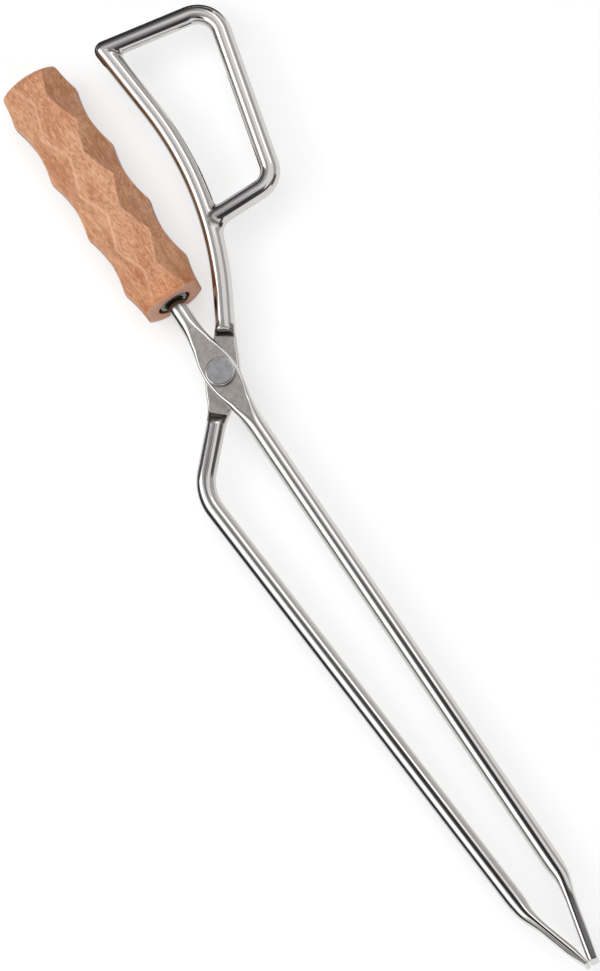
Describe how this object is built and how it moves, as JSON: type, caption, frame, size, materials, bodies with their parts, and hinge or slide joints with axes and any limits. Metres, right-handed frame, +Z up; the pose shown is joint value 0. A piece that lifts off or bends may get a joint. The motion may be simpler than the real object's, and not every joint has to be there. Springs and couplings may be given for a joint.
{
  "type": "barbecue tongs",
  "caption": "Scissor-action barbecue tongs of round steel rod, crossing at a rivet, with a scalloped wooden grip, a finger loop and long limbs ending in flattened jaws.",
  "frame": {"origin": "under the middle of the closed tongs' box, on the surface that the grip lies on", "axes": "+Y from the jaws to the grip's end, +X towards the finger loop, +Z up out of the flat tongs, along the rivet to its head"},
  "size_m": [0.1134, 0.4388, 0.0294],
  "materials": {
    "polished_steel": "polished stainless rod, satin on the flattened plates",
    "weld_steel": "cleaned weld, slightly dull",
    "beech": "oiled, satin",
    "brass_insert": "plain, hidden in the grip",
    "plain_steel": "plain bright",
    "rivet_steel": "turned, satin"
  },
  "bodies": {
    "front": {"front_arm": "polished_steel", "wooden_grip": "beech", "grip_insert": "brass_insert", "recess_washer": "plain_steel", "lock_nut": "plain_steel", "pivot_rivet": "rivet_steel", "rivet_washer": "plain_steel"},
    "rear": {"rear_arm": "polished_steel", "finger_loop": "polished_steel", "upper_weld_bead": "weld_steel", "lower_weld_bead": "weld_steel"}
  },
  "joints": [
    {"name": "pivot", "type": "hinge", "parent": "front", "child": "rear", "pos_m": [-0.0215, 0.07114, 0.01468], "axis": [0, 0, -1], "range_deg": [0, 105]}
  ]
}
